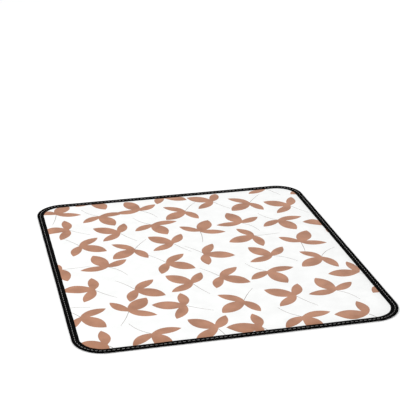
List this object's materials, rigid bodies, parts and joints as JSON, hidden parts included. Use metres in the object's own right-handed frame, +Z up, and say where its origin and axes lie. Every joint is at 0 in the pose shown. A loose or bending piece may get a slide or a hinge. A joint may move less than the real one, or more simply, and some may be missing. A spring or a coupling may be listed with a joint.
{
  "type": "changing pad",
  "caption": "Thin folding baby changing pad: printed wipeable cover, foam sheet and backing bound round the edge with stitched tape; folds in thirds.",
  "frame": {"origin": "on the floor under the middle of the open pad", "axes": "+Z up out of the printed face, +Y along the pad's length, +X across its width, from the panel that folds in first towards the panel that folds over it"},
  "size_m": [0.465, 0.52, 0.0032],
  "materials": {
    "cover": "coated woven fabric, soft sheen, white with a brown leaf print",
    "padding": "fine closed-cell foam",
    "backing": "coated woven fabric, matt dark",
    "binding": "ribbed woven tape, matt black",
    "thread": "twisted polyester thread, light grey"
  },
  "bodies": {
    "middle_panel": {"top_cover_middle": "cover", "padding_middle": "padding", "backing_middle": "backing", "binding_middle": "binding", "needle_thread_middle": "thread", "bobbin_thread_middle": "thread"},
    "left_panel": {"top_cover_left": "cover", "padding_left": "padding", "backing_left": "backing", "binding_left": "binding", "needle_thread_left": "thread", "bobbin_thread_left": "thread"},
    "right_panel": {"top_cover_right": "cover", "padding_right": "padding", "backing_right": "backing", "binding_right": "binding", "needle_thread_right": "thread", "bobbin_thread_right": "thread"}
  },
  "joints": [
    {"name": "left_fold", "type": "hinge", "parent": "middle_panel", "child": "left_panel", "pos_m": [-0.0825, 0, 0.0037], "axis": [0, 1, 0], "range_deg": [0, 179.9]},
    {"name": "right_fold", "type": "hinge", "parent": "middle_panel", "child": "right_panel", "pos_m": [0.0775, 0, 0.0057], "axis": [0, -1, 0], "range_deg": [0, 179.9]}
  ]
}
